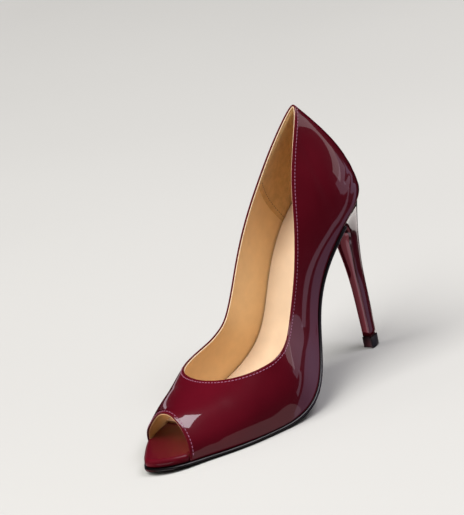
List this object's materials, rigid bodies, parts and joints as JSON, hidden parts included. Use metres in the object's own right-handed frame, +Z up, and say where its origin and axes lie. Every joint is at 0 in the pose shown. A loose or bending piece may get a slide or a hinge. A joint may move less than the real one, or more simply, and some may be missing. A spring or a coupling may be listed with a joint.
{
  "type": "peep-toe stiletto pump",
  "caption": "Left peep-toe pump: a patent leather shell, open at collar and toe, on a thin sole with a steep arch and a slim stiletto heel.",
  "frame": {"origin": "centre of the shoe's bounding box, on the floor it stands on", "axes": "+Z up; the toe points to -Y and the heel to +Y; +X is the outer (lateral) side of the left foot"},
  "size_m": [0.079, 0.2022, 0.1637],
  "materials": {
    "patent": "burgundy patent, glossy",
    "sock_leather": "beige, satin",
    "sole_leather": "black, polished edge",
    "heel_cover": "burgundy patent, glossy",
    "lift_rubber": "black, satin"
  },
  "bodies": {
    "root": {"upper": "patent", "insole": "patent", "sock": "sock_leather", "outsole": "sole_leather", "heel": "heel_cover", "top_lift": "lift_rubber"}
  },
  "joints": []
}
